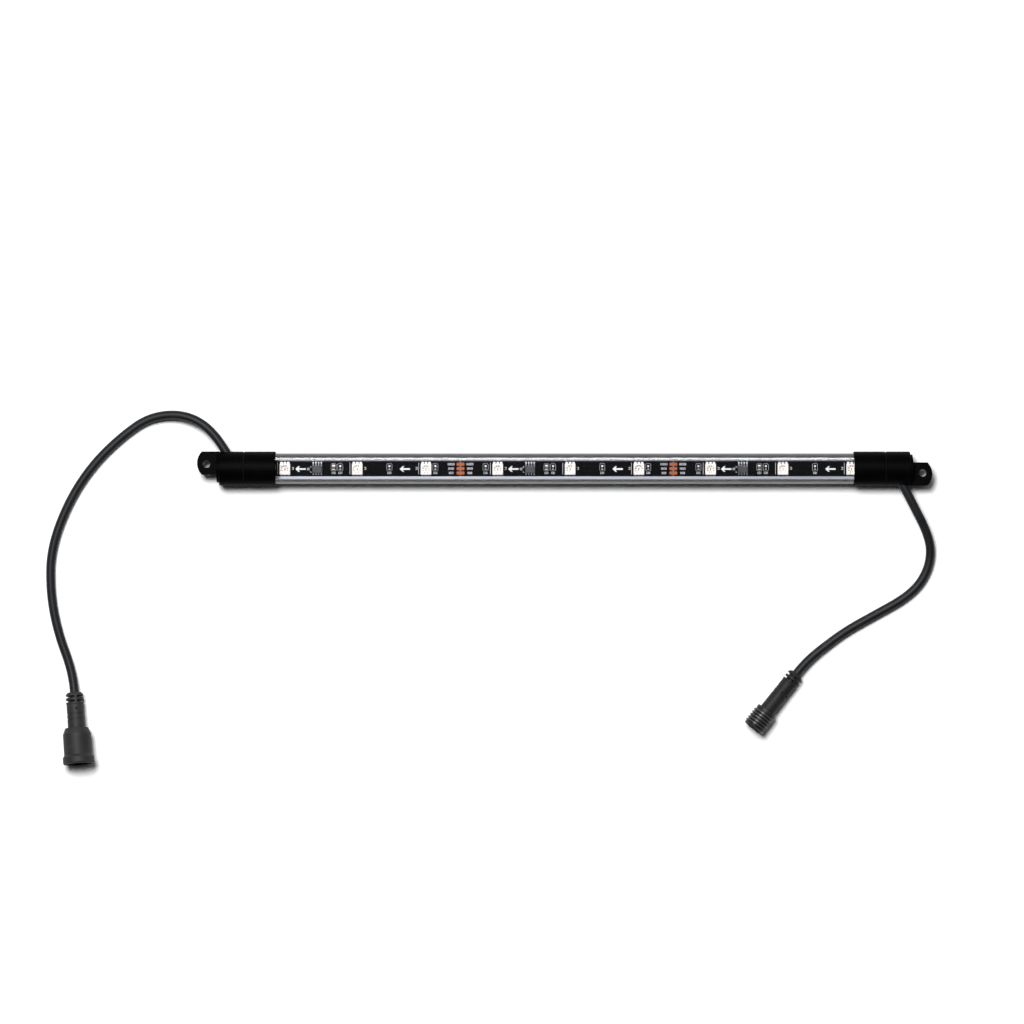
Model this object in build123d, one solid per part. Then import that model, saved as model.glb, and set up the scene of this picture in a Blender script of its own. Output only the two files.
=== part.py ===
from build123d import *
import math
import os

# LED strip batten: a clear round tube with an addressable LED strip inside, a cap with a drilled
# ear at each end, and a three-core lead from each cap to a screw connector. Millimetres.
#
# Frame: the bar lies along X and rests on the plane z = 0, the lamps look up along +Z, and the
# origin is on that plane under the middle of the bar. The two ends are the same parts, half a turn
# about Z apart. End parts are drawn at the +X end.

# Tube
cap_radius = 8.0
axis_height = cap_radius
tube_radius = 7.2
tube_wall = 1.0
tube_bore_radius = tube_radius - tube_wall
tube_half_length = 150.0
slip_gap = 0.03

# Sleeve, gasket and end cap, as stations along the bar
sleeve_start = 135.6
sleeve_face = 150.3
sleeve_tail_end = 154.0
sleeve_tail_radius = 7.35
gasket_end = 150.9
gasket_radius = 7.75
cap_socket_radius = 7.4
cap_socket_end = 154.4
cap_chamber_end = 161.2
cap_shoulder = 162.1
disc_radius = 6.6
disc_end = 163.3

# Ear
ear_end = 172.5
ear_width = 10.9
ear_thickness = 3.0
ear_tip_rise = 2.2
ear_corner_rounding = 0.6
ear_hole_radius = 1.8
ear_hole_station = 168.1
ear_hole_offset = -2.1

# Strip and carrier
segment_length = 100.0
segment_count = 3
strip_start = -148.9
strip_end = strip_start + segment_length * segment_count
strip_width = 7.4
strip_bottom = 5.3
strip_top = 5.5
carrier_width = 10.6
carrier_top = 5.2
carrier_edge = 4.85
carrier_foot_width = 9.4
carrier_foot = 4.3

# Places of the parts on one segment, from the segment's start
lamp_places = [17.5, 51.5, 83.8]
chip_place = 32.7
capacitor_place = 40.4
resistor_places = [11.8, 43.5, 66.6, 88.2]

# Solder pads
pad_thickness = 0.06
pad_length = 3.95
pad_width = 1.7
pad_pitch = 2.1
pad_rounding = 0.45

# Lamps
lamp_length = 5.0
lamp_width = 5.2
lamp_height = 1.6
lamp_offset = -0.35
lamp_edge = 0.2
lamp_well_radius = 2.0
lamp_well_depth = 0.9
lens_sink = 0.12
lamp_lead_pitch = 1.6
lamp_lead_width = 0.95
lamp_lead_height = 0.5
lamp_long_lead = 0.85
lamp_short_lead = 0.25

# Driver chips
chip_length = 4.9
chip_width = 3.6
chip_offset = -0.45
chip_height = 1.45
chip_stand_off = 0.1
chip_bevel = 0.3
chip_lead_pitch = 1.27
chip_lead_width = 0.42
chip_lead_thickness = 0.2
chip_lead_span = 6.2
chip_lead_shoulder = 0.45
chip_leads_per_side = 4

# Capacitors and resistors
capacitor_size = (1.25, 2.0, 0.85)
resistor_size = (0.8, 1.6, 0.45)
passive_offset = 0.4
passive_bevel = 0.06

# Wires. Cord and contacts both hold three cores, evenly spaced on a circle.
core_count = 3
core_step = 360 / core_count
wire_radius = 0.5
wire_clearance = 0.05
wire_lift = 0.02
wire_height = strip_top + pad_thickness + wire_radius + wire_lift
wire_seal_start = 151.6
wire_seal_end = 153.6
wire_turn_station = 154.9
wire_landing = 1.9
core_circle_radius = 0.95
core_first_angle = 210.0
core_runs = [0.8, 1.0, 3.4]
wire_bend_radius = 0.5

# Cords. The last run of each route is the axis of its connector. The socket rests on its collar and
# the shoulder of its nut, and the plug on its collar and the first ridge of its thread.
cord_radius = 2.1
cord_section = math.pi * cord_radius**2
arc_share = 0.45
left_route = [
    (-156.7, 3.7, 8.0),
    (-163.41, 16.35, 8.0),
    (-177.3, 25.6, 5.4),
    (-194.5, 24.8, 2.7),
    (-208.3, 15.2, 2.15),
    (-222.1, 1.7, 2.15),
    (-233.3, -15.4, 2.15),
    (-241.6, -37.3, 2.15),
    (-242.0, -57.5, 2.15),
    (-238.6, -76.5, 2.15),
    (-231.17, -96.2, 2.74),
    (-230.5, -105.2, 3.95),
]
right_route = [
    (156.7, -3.7, 8.0),
    (162.8, -15.2, 8.0),
    (171.8, -32.5, 4.4),
    (172.2, -44.0, 2.6),
    (167.6, -54.1, 2.15),
    (159.6, -61.3, 2.15),
    (147.2, -68.2, 2.15),
    (133.0, -76.0, 2.15),
    (122.5, -83.6, 2.45),
    (113.5, -90.95, 3.2),
    (109.1, -96.4, 3.71),
]

# Grommets, measured along the cord from the surface of the cap
grommet_radius = 2.48
grommet_flange_radius = 2.9
grommet_inner_end = -4.87
grommet_flange_face = -4.1
grommet_outer_end = 2.0
grommet_recess = 0.05
cord_hole_radius = 2.52
cord_hole_reach = 4.0
cord_slip = 0.02

# Connectors, as stations along the connector from its tail
collar_length = 5.4
collar_rounding = 1.8
collar_step = 0.4
slot_stations = [1.7, 3.7]
slot_width = 1.15
slot_depth = 1.9
rib_width = 1.1
mark_radius = 0.55
mark_depth = 1.0
ring_width = 0.5
ring_depth = 0.22

socket_collar_radius = 4.2
socket_body_radius = 4.05
socket_flange_start = 18.7
socket_body_end = 20.5
socket_flange_radius = 5.0
socket_roll = -12.0
socket_ring_stations = [10.0, 12.4]
socket_mark_station = 8.0
insert_base_radius = 4.95
insert_base_end = 22.4
insert_radius = 4.15
insert_face = 32.6
seal_end = 23.7
seal_rounding = 0.3
contact_first_angle = 90.0
contact_circle_radius = 2.2
contact_radius = 1.15
contact_bore_radius = 0.8
contact_start = 23.5
contact_end = 31.2
contact_mouth_radius = 0.95
fit_slip = 0.01

nut_start = 16.8
nut_wall_end = 18.4
nut_running_gap = 0.08
nut_radius = 6.65
nut_shoulder_radius = 5.4
nut_shoulder_end = 19.8
nut_shoulder_rounding = 2.3
nut_rim_start = 29.6
nut_rim_slope = 1.2
nut_rim_radius = 7.4
nut_end = 34.0
nut_mouth_radius = 6.15
nut_mouth_depth = 1.8
nut_mouth_slope = 0.4
thread_pitch = 1.5
nut_root_radius = 5.65
nut_crest_radius = 5.1
nut_thread_start = 24.6
nut_ridge_count = 5

plug_collar_radius = 3.8
plug_body_radius = 3.65
plug_body_end = 22.3
plug_roll = -30.0
plug_ring_stations = [9.4, 10.6, 13.0]
plug_mark_station = 11.6
plug_mark_angle = 27.0
head_shoulder_radius = 5.0
head_shoulder_end = 23.6
head_root_radius = 4.75
head_crest_radius = 5.4
head_ridge_count = 6
head_thread_start = 23.8
head_end = 33.0
head_bore_radius = 4.25
head_bore_start = 24.0
pin_radius = 0.75
pin_end = 31.4

ridge_rise = 0.4
ridge_crest = 0.35


def turned_solid(outline):
    """A solid of revolution about Z. Each corner of the outline is (radius, station, rounding)."""
    corners = [(radius, 0, station) for radius, station, rounding in outline]
    roundings = [rounding for radius, station, rounding in outline]
    profile = make_face(FilletPolyline(*corners, radius=roundings, close=True))
    return revolve(profile, Axis.Z)


def ring(inner_radius, outer_radius, start, end, rounding=0):
    """A plain ring about Z between two stations."""
    return turned_solid(
        [
            (inner_radius, start, rounding),
            (outer_radius, start, rounding),
            (outer_radius, end, rounding),
            (inner_radius, end, rounding),
        ]
    )


def rod(radius, start, end, x=0, y=0):
    """A round rod along Z between two stations."""
    upright = Cylinder(radius, end - start, align=(Align.CENTER, Align.CENTER, Align.MIN))
    return Pos(x, y, start) * upright


def block(size, centre_x, centre_y, bottom):
    """A rectangular block that stands on the height given as bottom."""
    return Pos(centre_x, centre_y, bottom) * Box(
        *size, align=(Align.CENTER, Align.CENTER, Align.MIN)
    )


def save(name, *solids):
    """Write one node. A node of several equal pieces is a group of separate solids."""
    shape = solids[0] if len(solids) == 1 else Compound(children=list(solids))
    export_step(shape, f"parts/{name}.step")


# The bar's axis, and a half turn that takes an end part from +X to -X
along_bar = Plane(origin=(0, 0, axis_height), x_dir=(0, 1, 0), z_dir=(1, 0, 0)).location
ends = {"right": Rot(0, 0, 0), "left": Rot(0, 0, 180)}


def cord_exit():
    """The place where the cord at the +X end crosses the side of the cap, along the first run."""
    inner = Vector(right_route[0])
    outward = (Vector(right_route[1]) - inner).normalized()
    reach = (-cap_radius - inner.Y) / outward.Y
    return Plane(origin=inner + outward * reach, z_dir=outward).location


def tube():
    wall = ring(tube_bore_radius, tube_radius, -tube_half_length, tube_half_length)
    return along_bar * wall


def sleeve():
    """The collar glued on the tube's end. Its tail carries the cap."""
    outline = [
        (tube_radius + slip_gap, sleeve_start, 0.2),
        (cap_radius, sleeve_start, 0.35),
        (cap_radius, sleeve_face, 0.2),
        (sleeve_tail_radius, sleeve_face, 0),
        (sleeve_tail_radius, sleeve_tail_end, 0.2),
        (tube_bore_radius, sleeve_tail_end, 0),
        (tube_bore_radius, tube_half_length, 0),
        (tube_radius + slip_gap, tube_half_length, 0),
    ]
    return along_bar * turned_solid(outline)


def gasket():
    return along_bar * ring(sleeve_tail_radius, gasket_radius, sleeve_face, gasket_end)


def ear():
    """The flat drilled tab in the cap's mid-plane, flush with one side of the cap."""
    low = -cap_radius
    high = low + ear_width
    corner = ear_end - ear_tip_rise
    outline = [
        Line((cap_shoulder, high), (cap_shoulder, low)),
        Line((cap_shoulder, low), (corner, low)),
        ThreePointArc((corner, low), (ear_end, (low + high) / 2), (corner, high)),
        Line((corner, high), (cap_shoulder, high)),
    ]
    sheet = make_face(outline)
    tip_corners = sheet.vertices().filter_by(lambda v: v.X > cap_shoulder + 1)
    sheet = fillet(tip_corners, ear_corner_rounding)
    tab = Pos(0, 0, axis_height - ear_thickness / 2) * extrude(sheet, ear_thickness)
    hole = rod(ear_hole_radius, 0, 2 * axis_height, ear_hole_station, ear_hole_offset)
    return tab - hole


def end_cap():
    """The hollow cap: a socket for the sleeve's tail, a wiring chamber, a step and an ear."""
    outline = [
        (cap_socket_radius, gasket_end, 0),
        (cap_radius, gasket_end, 0.25),
        (cap_radius, cap_shoulder, 0.5),
        (disc_radius, cap_shoulder, 0),
        (disc_radius, disc_end, 0.3),
        (0, disc_end, 0),
        (0, cap_chamber_end, 0),
        (tube_bore_radius, cap_chamber_end, 0.5),
        (tube_bore_radius, cap_socket_end, 0),
        (cap_socket_radius, cap_socket_end, 0),
    ]
    shell = along_bar * turned_solid(outline)
    cord_hole = cord_exit() * rod(cord_hole_radius, -cord_hole_reach, cord_hole_reach)
    return shell + ear() - cord_hole


def grommet():
    """The rubber bush round the cord, with its flange inside the cap's chamber."""
    outline = [
        (cord_radius + cord_slip, grommet_inner_end, 0),
        (grommet_flange_radius, grommet_inner_end, 0.2),
        (grommet_flange_radius, grommet_flange_face, 0.2),
        (grommet_radius, grommet_flange_face, 0),
        (grommet_radius, grommet_outer_end, 0),
        (cord_radius + cord_slip, grommet_outer_end, 0),
    ]
    bush = cord_exit() * turned_solid(outline)
    cap_envelope = along_bar * rod(cap_radius - grommet_recess, 0, ear_end)
    return bush & cap_envelope


def wire_offsets():
    """The three wires' distances from the strip's middle: power, data and ground."""
    return [-pad_pitch, 0, pad_pitch]


def wire_seal():
    """The soft disc in the sleeve's tail that the three wires pass through."""
    disc = along_bar * rod(tube_bore_radius - slip_gap, wire_seal_start, wire_seal_end)
    for offset in wire_offsets():
        passage = Plane(origin=(0, offset, wire_height), z_dir=(1, 0, 0)).location
        hole = rod(wire_radius + wire_clearance, wire_seal_start - 1, wire_seal_end + 1)
        disc = disc - passage * hole
    return disc


def wire(core, offset, strip_limit):
    """One insulated wire, from the cord's cut end to its pad at the end of the strip."""
    inner = Vector(right_route[0])
    outward = (Vector(right_route[1]) - inner).normalized()
    sideways = Vector(0, 0, 1).cross(outward)
    angle = math.radians(core_first_angle + core_step * core)
    across = sideways * math.cos(angle) + Vector(0, 0, 1) * math.sin(angle)
    start = inner + across * core_circle_radius
    route = [
        start,
        start - outward * core_runs[core],
        Vector(wire_turn_station, offset, wire_height),
        Vector(strip_limit - wire_landing, offset, wire_height),
    ]
    path = FilletPolyline(*route, radius=wire_bend_radius)
    section = Plane(origin=path @ 0, z_dir=path % 0) * Circle(wire_radius)
    return sweep(section, path)


def strip_layer(width, bottom, top):
    """A flat layer as long as the strip."""
    centre = (strip_start + strip_end) / 2
    return block((strip_end - strip_start, width, top - bottom), centre, 0, bottom)


def carrier_bar():
    """The light-metal bar under the strip. Its lower corners follow the bore of the tube."""
    half = carrier_width / 2
    foot = carrier_foot_width / 2
    outline = Polyline(
        (-half, carrier_top),
        (-half, carrier_edge),
        (-foot, carrier_foot),
        (foot, carrier_foot),
        (half, carrier_edge),
        (half, carrier_top),
        close=True,
    )
    section = Plane(origin=(strip_start, 0, 0), x_dir=(0, 1, 0), z_dir=(1, 0, 0))
    return extrude(section * make_face(outline), strip_end - strip_start)


def pads():
    """Copper pads in threes: across each joint between segments, and half as long at each end."""
    solids = []
    for joint in range(segment_count + 1):
        inner_joint = 0 < joint < segment_count
        length = pad_length if inner_joint else pad_length / 2
        shift = 0 if inner_joint else (pad_length / 4 if joint == 0 else -pad_length / 4)
        centre = strip_start + joint * segment_length + shift
        for offset in wire_offsets():
            pad = block((length, pad_width, pad_thickness), centre, offset, strip_top)
            solids.append(fillet(pad.edges().filter_by(Axis.Z), pad_rounding))
    return solids


def lamp_housing(x):
    body = block((lamp_length, lamp_width, lamp_height), x, lamp_offset, strip_top)
    body = chamfer(body.edges().group_by(Axis.Z)[-1], lamp_edge)
    top = strip_top + lamp_height
    return body - rod(lamp_well_radius, top - lamp_well_depth, top + 1, x, lamp_offset)


def lamp_lens(x):
    top = strip_top + lamp_height
    return rod(lamp_well_radius, top - lamp_well_depth, top - lens_sink, x, lamp_offset)


def lamp_leads(x):
    """Three soldered leads on each side of the lamp, long on the +Y side."""
    solids = []
    for side, reach in ((1, lamp_long_lead), (-1, lamp_short_lead)):
        size = (lamp_lead_width, reach, lamp_lead_height)
        centre = lamp_offset + side * (lamp_width + reach) / 2
        for step in (-1, 0, 1):
            solids.append(block(size, x + step * lamp_lead_pitch, centre, strip_top))
    return solids


def chip_body(x):
    size = (chip_length, chip_width, chip_height)
    body = block(size, x, chip_offset, strip_top + chip_stand_off)
    return chamfer(body.edges().group_by(Axis.Z)[-1], chip_bevel)


def chip_leads(x):
    """Gull-wing leads: out of the body's side, down, and flat on the strip."""
    solids = []
    middle = strip_top + chip_stand_off + chip_height / 2
    foot_top = strip_top + chip_lead_thickness
    first = -(chip_leads_per_side - 1) / 2
    for side in (-1, 1):
        face = chip_offset + side * chip_width / 2
        knee = face + side * chip_lead_shoulder
        inner_knee = knee - side * chip_lead_thickness
        toe = side * chip_lead_span / 2
        outline = Polyline(
            (face, middle),
            (knee, middle),
            (knee, foot_top),
            (toe, foot_top),
            (toe, strip_top),
            (inner_knee, strip_top),
            (inner_knee, middle - chip_lead_thickness),
            (face, middle - chip_lead_thickness),
            close=True,
        )
        for index in range(chip_leads_per_side):
            place = x + (first + index) * chip_lead_pitch - chip_lead_width / 2
            section = Plane(origin=(place, 0, 0), x_dir=(0, 1, 0), z_dir=(1, 0, 0))
            lead = extrude(section * make_face(outline), chip_lead_width, dir=(1, 0, 0))
            solids.append(lead)
    return solids


def passive(x, size):
    """A small two-ended chip part that lies across the strip, on its solder."""
    body = block(size, x, passive_offset, strip_top)
    return chamfer(body.edges().group_by(Axis.Z)[-1], passive_bevel)


def connector_place(route, roll):
    """A connector's frame: Z runs from its tail to its nose. Y points up before the roll."""
    tail = Vector(route[-1])
    axis = (tail - Vector(route[-2])).normalized()
    sideways = Vector(0, 0, 1).cross(axis)
    return Plane(origin=tail, x_dir=sideways, z_dir=axis).location * Rot(0, 0, roll)


def strain_relief_cuts(radius):
    """Two slots round the collar, each bridged by a rib above and below."""
    cuts = []
    for station in slot_stations:
        groove = ring(radius - slot_depth, radius + 1, station, station + slot_width)
        rib = Pos(0, 0, station) * Box(rib_width, 4 * radius, 4 * slot_width)
        cuts.append(groove - rib)
    return cuts


def mark(radius, station, angle):
    """A small round recess in the side of a connector body."""
    towards = Vector(math.sin(math.radians(angle)), math.cos(math.radians(angle)), 0)
    start = towards * (radius - mark_depth) + Vector(0, 0, station)
    return Plane(origin=start, z_dir=towards).location * rod(mark_radius, 0, 2)


def moulded_body(outline, collar_radius, body_radius, ring_stations, marks):
    body = turned_solid(outline)
    for cut in strain_relief_cuts(collar_radius):
        body = body - cut
    for station in ring_stations:
        body = body - ring(body_radius - ring_depth, body_radius + 1, station, station + ring_width)
    for station, angle in marks:
        body = body - mark(body_radius, station, angle)
    return body


def socket_body():
    outline = [
        (0, 0, 0),
        (socket_collar_radius, 0, collar_rounding),
        (socket_collar_radius, collar_length, 0.15),
        (socket_body_radius, collar_length + collar_step, 0),
        (socket_body_radius, socket_flange_start, 0),
        (socket_flange_radius, socket_flange_start, 0),
        (socket_flange_radius, socket_body_end, 0),
        (0, socket_body_end, 0),
    ]
    marks = [(socket_mark_station, 0)]
    return moulded_body(
        outline, socket_collar_radius, socket_body_radius, socket_ring_stations, marks
    )


def plug_body():
    outline = [
        (0, 0, 0),
        (plug_collar_radius, 0, collar_rounding),
        (plug_collar_radius, collar_length, 0.1),
        (plug_body_radius, collar_length + collar_step, 0),
        (plug_body_radius, plug_body_end, 0),
        (0, plug_body_end, 0),
    ]
    marks = [(plug_mark_station, -plug_mark_angle), (plug_mark_station, plug_mark_angle)]
    return moulded_body(outline, plug_collar_radius, plug_body_radius, plug_ring_stations, marks)


def contact_places():
    """The three contacts stand on a circle, one above and two below."""
    places = []
    for index in range(core_count):
        angle = math.radians(contact_first_angle + core_step * index)
        x = contact_circle_radius * math.cos(angle)
        y = contact_circle_radius * math.sin(angle)
        places.append((x, y))
    return places


def socket_insert():
    outline = [
        (0, socket_body_end, 0),
        (insert_base_radius, socket_body_end, 0),
        (insert_base_radius, insert_base_end, 0),
        (insert_radius, insert_base_end, 0),
        (insert_radius, insert_face, 0.3),
        (0, insert_face, 0),
    ]
    core = turned_solid(outline)
    for x, y in contact_places():
        core = core - rod(contact_radius + fit_slip, contact_start - fit_slip, contact_end, x, y)
        core = core - rod(contact_mouth_radius, contact_end, insert_face + 1, x, y)
    return core


def socket_contacts():
    barrel = ring(contact_bore_radius, contact_radius, contact_start, contact_end - 2 * fit_slip)
    return [Pos(x, y, 0) * barrel for x, y in contact_places()]


def socket_seal():
    return ring(
        insert_radius + fit_slip, insert_base_radius, insert_base_end, seal_end, seal_rounding
    )


def ridge_corners(root_radius, crest_radius, start, count):
    """The corners of a row of thread ridges, in order along the axis."""
    corners = []
    for index in range(count):
        foot = start + index * thread_pitch
        corners.append((root_radius, foot, 0))
        corners.append((crest_radius, foot + ridge_rise, 0))
        corners.append((crest_radius, foot + ridge_rise + ridge_crest, 0))
        corners.append((root_radius, foot + 2 * ridge_rise + ridge_crest, 0))
    return corners


def union_nut():
    rear_bore = socket_body_radius + nut_running_gap
    inside = [
        (rear_bore, nut_start, 0.2),
        (rear_bore, nut_wall_end, 0),
        (nut_root_radius, nut_wall_end, 0),
    ]
    ridges = ridge_corners(nut_root_radius, nut_crest_radius, nut_thread_start, nut_ridge_count)
    outside = [
        (nut_root_radius, nut_end - nut_mouth_depth - nut_mouth_slope, 0),
        (nut_mouth_radius, nut_end - nut_mouth_depth, 0),
        (nut_mouth_radius, nut_end, 0.25),
        (nut_rim_radius, nut_end, 0.9),
        (nut_rim_radius, nut_rim_start + nut_rim_slope, 0.7),
        (nut_radius, nut_rim_start, 0.8),
        (nut_radius, nut_shoulder_end, nut_shoulder_rounding),
        (nut_shoulder_radius, nut_start, 0.6),
    ]
    return turned_solid(inside + ridges + outside)


def plug_head():
    base = [
        (0, plug_body_end, 0),
        (head_shoulder_radius, plug_body_end, 0.3),
        (head_shoulder_radius, head_shoulder_end, 0),
    ]
    ridges = ridge_corners(
        head_root_radius, head_crest_radius, head_thread_start, head_ridge_count
    )
    nose = [
        (head_root_radius, head_end, 0.2),
        (head_bore_radius, head_end, 0.15),
        (head_bore_radius, head_bore_start, 0),
        (0, head_bore_start, 0),
    ]
    return turned_solid(base + ridges + nose)


def plug_pins():
    outline = [(0, head_bore_start, 0), (pin_radius, head_bore_start, 0)]
    outline += [(pin_radius, pin_end, 0.35), (0, pin_end, 0)]
    pin = turned_solid(outline)
    return [Pos(x, y, 0) * pin for x, y in contact_places()]


def arc_radii(name, route):
    """Each arc takes the same share of the shorter run beside its corner."""
    points = [Vector(*point) for point in route]
    radii = []
    for before, corner, after in zip(points, points[1:], points[2:]):
        run_in = corner - before
        run_out = after - corner
        half_turn = math.radians(run_in.get_angle(run_out)) / 2
        arc_reach = arc_share * min(run_in.length, run_out.length)
        radii.append(arc_reach / math.tan(half_turn))
    print(name, "arc radii", [round(radius, 1) for radius in radii])
    return radii


def cord(name, route):
    """The round cord along its route, and a check of its volume against section times length."""
    path = FilletPolyline(*route, radius=arc_radii(name, route))
    section = Plane(origin=path @ 0, z_dir=path % 0) * Circle(cord_radius)
    solid = sweep(section, path)
    expected = cord_section * path.length
    print(name, "length", round(path.length, 1), "volume ratio", round(solid.volume / expected, 4))
    return solid


def save_bar():
    save("tube", tube())
    save("carrier_bar", carrier_bar())
    save("strip_tape", strip_layer(strip_width, carrier_top, strip_bottom))
    save("strip_circuit", strip_layer(strip_width, strip_bottom, strip_top))
    save("solder_pads", *pads())


def save_circuit_parts():
    starts = [strip_start + index * segment_length for index in range(segment_count)]
    lamps = [start + place for start in starts for place in lamp_places]
    for number, x in enumerate(lamps, start=1):
        save(f"led_{number}", lamp_housing(x))
    save("led_lenses", *[lamp_lens(x) for x in lamps])
    save("led_leads", *[lead for x in lamps for lead in lamp_leads(x)])
    chip_centres = [start + chip_place for start in starts]
    save("driver_chip_leads", *[lead for x in chip_centres for lead in chip_leads(x)])
    for number, start in enumerate(starts, start=1):
        save(f"driver_chip_{number}", chip_body(start + chip_place))
        save(f"capacitor_{number}", passive(start + capacitor_place, capacitor_size))
        resistors = [passive(start + place, resistor_size) for place in resistor_places]
        save(f"segment_{number}_resistors", *resistors)


def save_end(side, turn):
    strip_limit = strip_end if side == "right" else -strip_start
    save(f"{side}_sleeve", turn * sleeve())
    save(f"{side}_gasket", turn * gasket())
    save(f"{side}_end_cap", turn * end_cap())
    save(f"{side}_grommet", turn * grommet())
    save(f"{side}_wire_seal", turn * wire_seal())
    for core, name in enumerate(["power", "data", "ground"]):
        offset = wire_offsets()[core]
        save(f"{side}_{name}_wire", turn * wire(core, offset, strip_limit))


def save_connectors():
    socket = connector_place(left_route, socket_roll)
    save("socket_body", socket * socket_body())
    save("socket_insert", socket * socket_insert())
    save("socket_contacts", *[socket * contact for contact in socket_contacts()])
    save("socket_seal", socket * socket_seal())
    save("union_nut", socket * union_nut())
    plug = connector_place(right_route, plug_roll)
    save("plug_body", plug * plug_body())
    save("plug_head", plug * plug_head())
    save("plug_pins", *[plug * pin for pin in plug_pins()])


os.makedirs("parts", exist_ok=True)
save_bar()
save_circuit_parts()
for side, turn in ends.items():
    save_end(side, turn)
save("left_cord", cord("left_cord", left_route))
save("right_cord", cord("right_cord", right_route))
save_connectors()
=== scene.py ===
import math

import bmesh
import bpy
from mathutils import Matrix, Vector


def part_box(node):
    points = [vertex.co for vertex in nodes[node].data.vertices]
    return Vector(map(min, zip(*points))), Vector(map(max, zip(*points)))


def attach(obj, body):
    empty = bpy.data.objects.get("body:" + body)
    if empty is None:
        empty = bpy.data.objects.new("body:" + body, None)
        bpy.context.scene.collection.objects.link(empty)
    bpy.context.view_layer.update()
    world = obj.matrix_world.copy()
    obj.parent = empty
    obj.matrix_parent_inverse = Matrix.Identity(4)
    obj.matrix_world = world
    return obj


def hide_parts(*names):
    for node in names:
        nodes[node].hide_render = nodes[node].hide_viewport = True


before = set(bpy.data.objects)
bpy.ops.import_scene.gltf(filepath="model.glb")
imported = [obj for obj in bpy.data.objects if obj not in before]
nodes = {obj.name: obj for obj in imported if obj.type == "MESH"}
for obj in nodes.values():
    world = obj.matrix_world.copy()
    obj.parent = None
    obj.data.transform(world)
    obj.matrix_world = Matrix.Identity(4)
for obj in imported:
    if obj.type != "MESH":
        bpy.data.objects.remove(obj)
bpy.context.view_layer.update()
scene = bpy.context.scene
MM = 0.001

# Camera, in metres: straight down on the bar, with the width of floor that it takes in
VIEW_CENTRE = (-0.0247, -0.0204)
VIEW_WIDTH = 0.4808
VIEW_LENS = 200
VIEW_SENSOR = 36

# Cords, in metres. Each route holds the control points of one smooth curve.
CORD_DIAMETER = 0.0042
LEFT_ROUTE = [
    (-0.1567, 0.0037, 0.0080),
    (-0.16341, 0.01635, 0.0080),
    (-0.1773, 0.0256, 0.0054),
    (-0.1945, 0.0248, 0.0027),
    (-0.2083, 0.0152, 0.00215),
    (-0.2221, 0.0017, 0.00215),
    (-0.2333, -0.0154, 0.00215),
    (-0.2416, -0.0373, 0.00215),
    (-0.2420, -0.0575, 0.00215),
    (-0.2386, -0.0765, 0.00215),
    (-0.23117, -0.0962, 0.00274),
    (-0.2305, -0.1052, 0.00395),
]
RIGHT_ROUTE = [
    (0.1567, -0.0037, 0.0080),
    (0.1628, -0.0152, 0.0080),
    (0.1718, -0.0325, 0.0044),
    (0.1722, -0.0440, 0.0026),
    (0.1676, -0.0541, 0.00215),
    (0.1596, -0.0613, 0.00215),
    (0.1472, -0.0682, 0.00215),
    (0.1330, -0.0760, 0.00215),
    (0.1225, -0.0836, 0.00245),
    (0.1135, -0.09095, 0.0032),
    (0.1091, -0.0964, 0.00371),
]

# Strip, in millimetres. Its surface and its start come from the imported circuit, and the places
# on one segment are measured from the segment's start.
strip_low, strip_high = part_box("strip_circuit")
STRIP_TOP = strip_high.z / MM
STRIP_START = strip_low.x / MM
SEGMENT_LENGTH = 100.0
SEGMENT_STARTS = [STRIP_START + index * SEGMENT_LENGTH for index in range(3)]
ARROW_PLACES = [24.9, 73.9]
RESISTOR_PLACES = [11.8, 43.5, 66.6, 88.2]
CORE_OFFSETS = [2.1, 0.0, -2.1]
LAMP_LEAD_OFFSETS = [-1.6, 0.0, 1.6]
CHIP_LEAD_OFFSETS = [-1.905, -0.635, 0.635, 1.905]
CHIP_TOE = 2.74
CHIP_LAND = 2.66
ARROW_OFFSET = -0.2
PAD_LENGTH = 3.72
END_PAD_LENGTH = 1.9
END_PAD_INSET = 0.98
PAD_WIDTH = 1.5
INK = 0.02
FINE_LINE = 0.14
LAMPS = [f"led_{number}" for number in range(1, 10)]
CHIPS = [f"driver_chip_{number}" for number in range(1, 4)]
CAPACITORS = [f"capacitor_{number}" for number in range(1, 4)]
RESISTORS = [f"segment_{number}_resistors" for number in range(1, 4)]


def middle(node):
    """The middle of a node's plan, in millimetres."""
    low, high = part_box(node)
    return (low.x + high.x) / 2 / MM, (low.y + high.y) / 2 / MM


# ---------------------------------------------------------------- camera, lights and floor


def make_camera():
    data = bpy.data.cameras.new("camera")
    data.lens = VIEW_LENS
    data.sensor_width = VIEW_SENSOR
    data.clip_end = 50
    camera = bpy.data.objects.new("camera", data)
    tube_low, tube_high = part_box("tube")
    axis_height = (tube_low.z + tube_high.z) / 2
    distance = VIEW_WIDTH * VIEW_LENS / VIEW_SENSOR
    camera.location = (*VIEW_CENTRE, axis_height + distance)
    scene.collection.objects.link(camera)
    scene.camera = camera


def make_area_light(name, place, size, power, colour=(1, 1, 1), target=(0, -0.02, 0)):
    data = bpy.data.lights.new(name, "AREA")
    data.shape = "RECTANGLE"
    data.size, data.size_y = size
    data.energy = power
    data.color = colour
    light = bpy.data.objects.new(name, data)
    light.location = place
    aim = Vector(target) - Vector(place)
    light.rotation_euler = aim.to_track_quat("-Z", "Y").to_euler()
    scene.collection.objects.link(light)
    return light


def link_light(light, state, *objects):
    """EXCLUDE keeps the light's glint off these objects, and INCLUDE lights nothing else.
    Either way the light still passes through clear objects."""
    group = bpy.data.collections.new(f"{light.name}_link")
    for item in objects:
        group.objects.link(item)
    light.light_linking.receiver_collection = group
    for member in group.collection_objects:
        member.light_linking.link_state = state


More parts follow.
